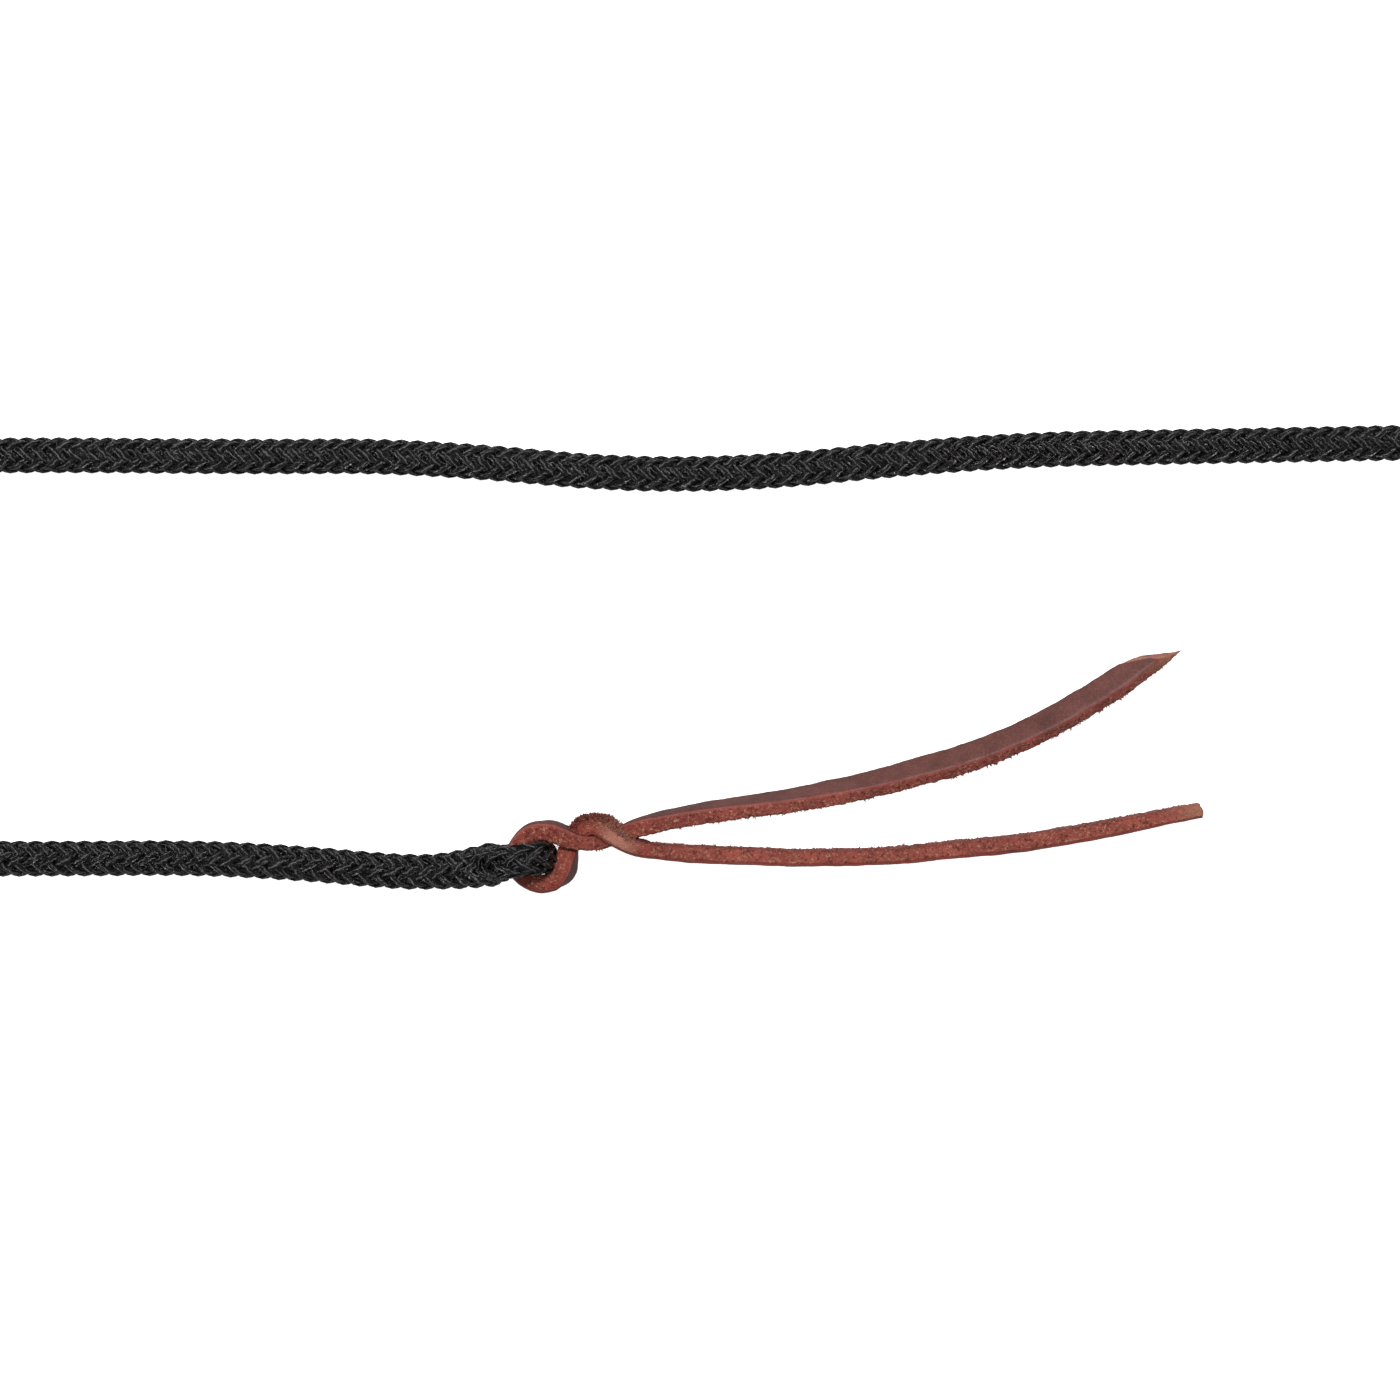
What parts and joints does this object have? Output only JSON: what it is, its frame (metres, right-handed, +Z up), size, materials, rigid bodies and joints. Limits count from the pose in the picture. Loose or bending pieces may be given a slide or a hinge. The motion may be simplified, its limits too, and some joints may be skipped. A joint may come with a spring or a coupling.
{
  "type": "lead rope with leather popper",
  "caption": "Black braided lead rope of a horse halter with a split leather popper in the eye at one end and a swivel bolt snap at the other.",
  "frame": {"origin": "middle of the whole part's box, on the surface that it lies on", "axes": "+X along the rope's long straight stretch towards the coil, +Y from the popper to that stretch, +Z up from the floor"},
  "size_m": [0.825, 0.2037, 0.0288],
  "materials": {
    "black_rope": "matte braid",
    "oxblood_leather": "waxed",
    "solid_brass": "satin",
    "spring_steel": "bright"
  },
  "bodies": {
    "rope": {"rope_cover": "black_rope", "rope_core": "black_rope", "rope_coil": "black_rope", "rope_tail": "black_rope", "popper_eye": "black_rope", "snap_eye": "black_rope"},
    "popper": {"popper_thong": "oxblood_leather"},
    "swivel": {"swivel_eye": "solid_brass"},
    "snap": {"snap_body": "solid_brass", "barrel_plug": "solid_brass", "bolt_spring": "spring_steel"},
    "bolt": {"snap_bolt": "solid_brass", "thumb_knob": "solid_brass"}
  },
  "joints": [
    {"name": "popper_swing", "type": "hinge", "parent": "rope", "child": "popper", "pos_m": [-0.1403, -0.0538, 0.0144], "axis": [0.1219, -0.9925, 0], "range_deg": [0, 60]},
    {"name": "snap_swing", "type": "hinge", "parent": "rope", "child": "swivel", "pos_m": [0.3916, 0.0085, 0.0132], "axis": [-1, 0, 0], "range_deg": [0, 50]},
    {"name": "snap_swivel", "type": "hinge", "parent": "swivel", "child": "snap", "pos_m": [0.3916, -0.03136, 0.00989], "axis": [0, -0.9966, -0.0827], "continuous": true},
    {"name": "bolt_slide", "type": "slide", "parent": "snap", "child": "bolt", "axis": [0, -0.9966, -0.0827], "range_m": [-0.012, 0], "stiffness_N_per_m": 300, "springref_m": 0.004, "deforming": ["bolt_spring"]}
  ]
}
